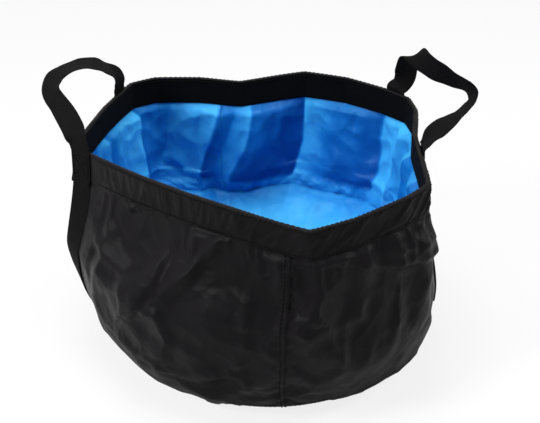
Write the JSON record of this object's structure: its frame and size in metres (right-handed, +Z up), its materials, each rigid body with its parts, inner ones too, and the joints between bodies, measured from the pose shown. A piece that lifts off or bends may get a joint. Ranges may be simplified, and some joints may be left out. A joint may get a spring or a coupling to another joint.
{
  "type": "collapsible camp washbasin",
  "caption": "Round soft washbasin for camp: black cloth shell, blue waterproof lining, stiffened hem, webbing handles that fold, and a body that collapses flat.",
  "frame": {"origin": "centre of the flat base panel, on its underside", "axes": "+Z up out of the mouth; +X from the left handle to the right handle; -Y towards the front seam"},
  "size_m": [0.3767, 0.3142, 0.2461],
  "materials": {
    "black_cloth": "black coated nylon with a low satin sheen",
    "black_hem": "black nylon, doubled over and gathered",
    "blue_lining": "shiny blue coated lining",
    "webbing": "matt black woven webbing",
    "white_plastic": "natural plastic strip",
    "seam_tape": "clear seam tape"
  },
  "bodies": {
    "base": {"left_front_strap_tail": "webbing", "left_rear_strap_tail": "webbing", "lining_base_panel": "blue_lining", "lining_base_seam_tape": "seam_tape", "lining_seam_tape_front": "seam_tape", "lining_seam_tape_rear": "seam_tape", "lining_wall_left": "blue_lining", "lining_wall_right": "blue_lining", "outer_base_panel": "black_cloth", "outer_wall_left": "black_cloth", "outer_wall_right": "black_cloth", "right_front_strap_tail": "webbing", "right_rear_strap_tail": "webbing"},
    "rim": {"left_front_strap_anchor": "webbing", "left_rear_strap_anchor": "webbing", "right_front_strap_anchor": "webbing", "right_rear_strap_anchor": "webbing", "rim_inner_facing": "black_hem", "rim_outer_cuff": "black_hem", "rim_stiffener": "white_plastic"},
    "left_handle": {"left_handle": "webbing"},
    "right_handle": {"right_handle": "webbing"}
  },
  "joints": [
    {"name": "rim_collapse", "type": "slide", "parent": "base", "child": "rim", "axis": [0, 0, -1], "range_m": [0, 0.12], "deforming": ["left_front_strap_tail", "left_rear_strap_tail", "lining_base_panel", "lining_base_seam_tape", "lining_seam_tape_front", "lining_seam_tape_rear", "lining_wall_left", "lining_wall_right", "outer_wall_left", "outer_wall_right", "right_front_strap_tail", "right_rear_strap_tail"]},
    {"name": "left_handle_fold", "type": "hinge", "parent": "rim", "child": "left_handle", "pos_m": [-0.14988, 0.02465, 0.19681], "axis": [-0.135, -0.9908, 0.0001], "range_deg": [-95, 28]},
    {"name": "right_handle_fold", "type": "hinge", "parent": "rim", "child": "right_handle", "pos_m": [0.11855, 0.02611, 0.19702], "axis": [-0.0987, 0.9951, 0.0034], "range_deg": [-80, 70]}
  ]
}
